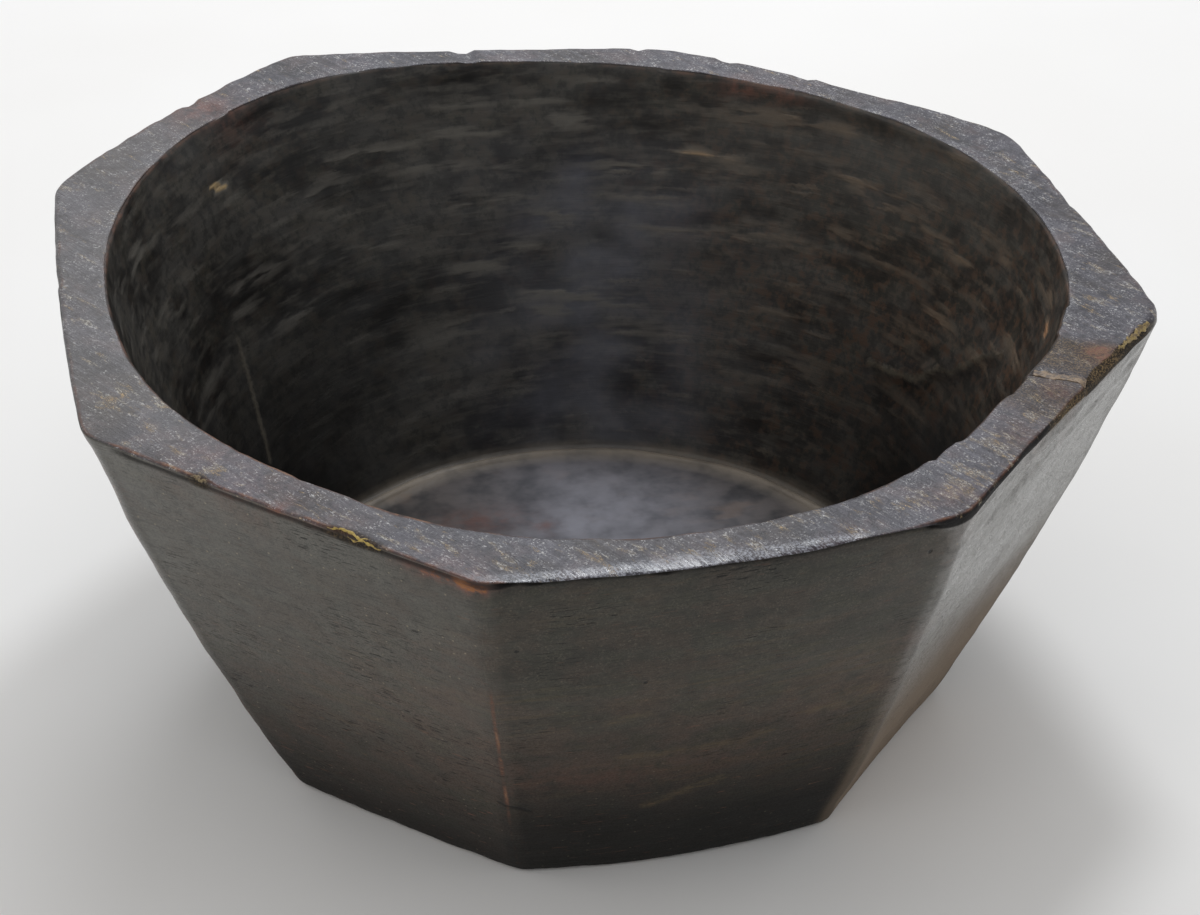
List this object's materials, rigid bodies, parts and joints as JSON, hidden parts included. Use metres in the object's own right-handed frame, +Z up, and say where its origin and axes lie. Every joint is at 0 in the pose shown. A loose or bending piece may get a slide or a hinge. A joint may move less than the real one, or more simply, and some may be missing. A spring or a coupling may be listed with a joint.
{
  "type": "wooden bowl",
  "caption": "Eight-sided hewn hardwood bowl with leaning flats, a round hollow, a flat ringed floor and an uneven rim with a filled crack and chips.",
  "frame": {"origin": "on the table, under the middle of the bowl's plan, at the bounding box's bottom centre", "axes": "+Z up out of the mouth, -Y out of the flat with the longest straight front rim edge, +X towards the side with the crack across the rim"},
  "size_m": [0.216, 0.2186, 0.1029],
  "materials": {
    "dark_wood": "dark hand-rubbed hardwood, worn satin sheen on the rim, dusty tool marks in the hollow",
    "old_filler": "old hardened yellow filler, rough, with dust in it"
  },
  "bodies": {
    "root": {"bowl_body": "dark_wood", "rim_crack_filler": "old_filler", "front_chip_filler": "old_filler", "left_chip_filler": "old_filler", "right_chip_filler": "old_filler"}
  },
  "joints": []
}
